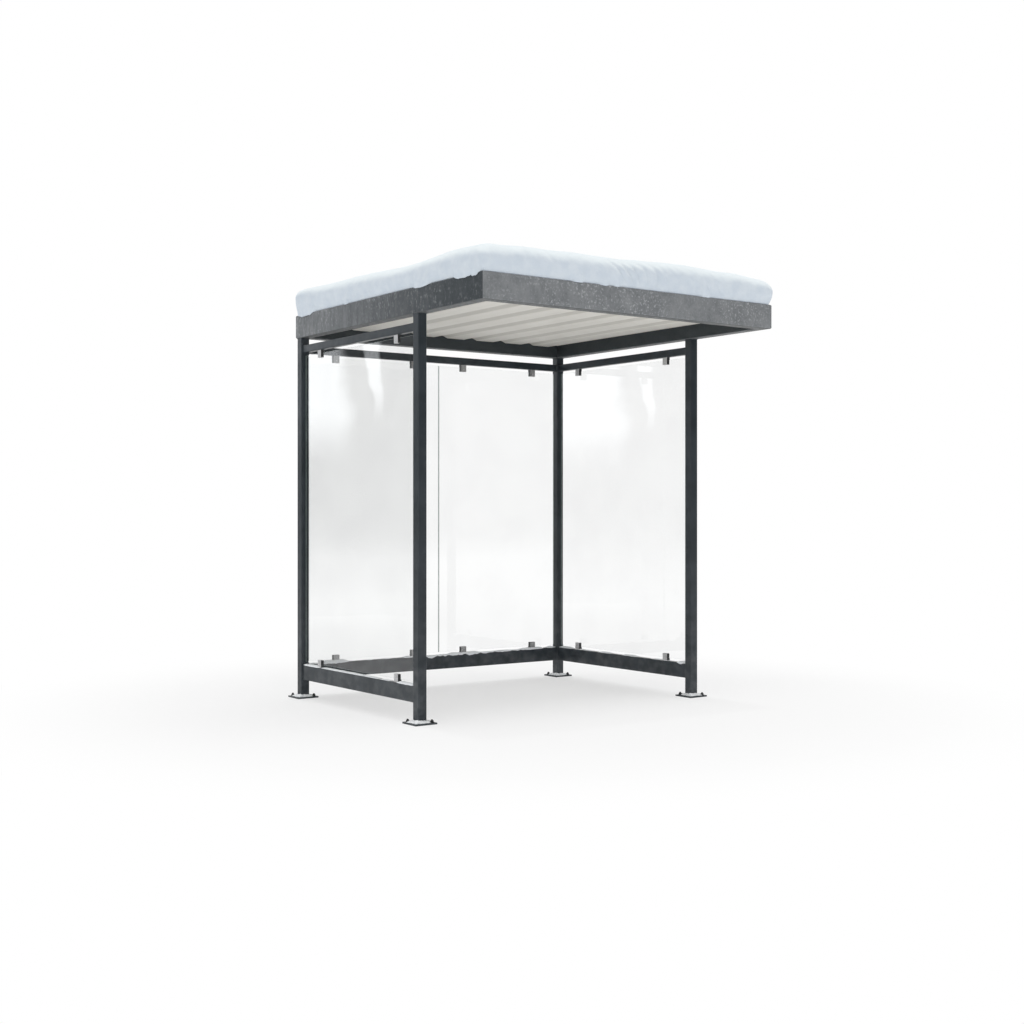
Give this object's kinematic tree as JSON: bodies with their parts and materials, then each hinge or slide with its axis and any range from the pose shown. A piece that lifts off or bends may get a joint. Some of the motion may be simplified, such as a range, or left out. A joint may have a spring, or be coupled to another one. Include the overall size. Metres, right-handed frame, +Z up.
{
  "type": "smoking shelter",
  "caption": "Open-fronted smoking shelter: box steel posts on base plates, clamped glass on three sides and a flat projecting roof under a depth of settled snow.",
  "frame": {"origin": "on the ground, at the middle of the whole outline, which runs from the front roof beam to the rear base plates", "axes": "+X to the right along the open front, as seen by someone inside looking at the back wall; +Y from the open front to the back wall; +Z up"},
  "size_m": [2.315, 2.272, 2.748],
  "materials": {
    "frame_steel": "satin",
    "roof_steel": "satin",
    "sheet_coating": "satin",
    "wall_glass": "polished",
    "clamp_steel": "satin",
    "snow": "matte"
  },
  "bodies": {
    "root": {"post_front_left": "frame_steel", "post_front_right": "frame_steel", "post_rear_left": "frame_steel", "post_rear_right": "frame_steel", "base_plate_front_left": "frame_steel", "base_plate_front_right": "frame_steel", "base_plate_rear_left": "frame_steel", "base_plate_rear_right": "frame_steel", "lower_rail_left": "frame_steel", "lower_rail_back": "frame_steel", "lower_rail_right": "frame_steel", "upper_rail_left": "frame_steel", "upper_rail_back": "frame_steel", "upper_rail_right": "frame_steel", "glass_left": "wall_glass", "glass_back_left": "wall_glass", "glass_back_right": "wall_glass", "glass_right": "wall_glass", "clamps_left": "clamp_steel", "clamps_back_left": "clamp_steel", "clamps_back_right": "clamp_steel", "clamps_right": "clamp_steel", "roof_beam_front": "roof_steel", "roof_beam_rear": "roof_steel", "roof_beam_left": "roof_steel", "roof_beam_right": "roof_steel", "roof_sheet_left": "sheet_coating", "roof_sheet_right": "sheet_coating", "roof_snow": "snow", "rail_snow_left": "snow", "rail_snow_back": "snow", "rail_snow_right": "snow", "plate_snow_front_left": "snow", "plate_snow_front_right": "snow", "plate_snow_rear_left": "snow", "plate_snow_rear_right": "snow"}
  },
  "joints": []
}
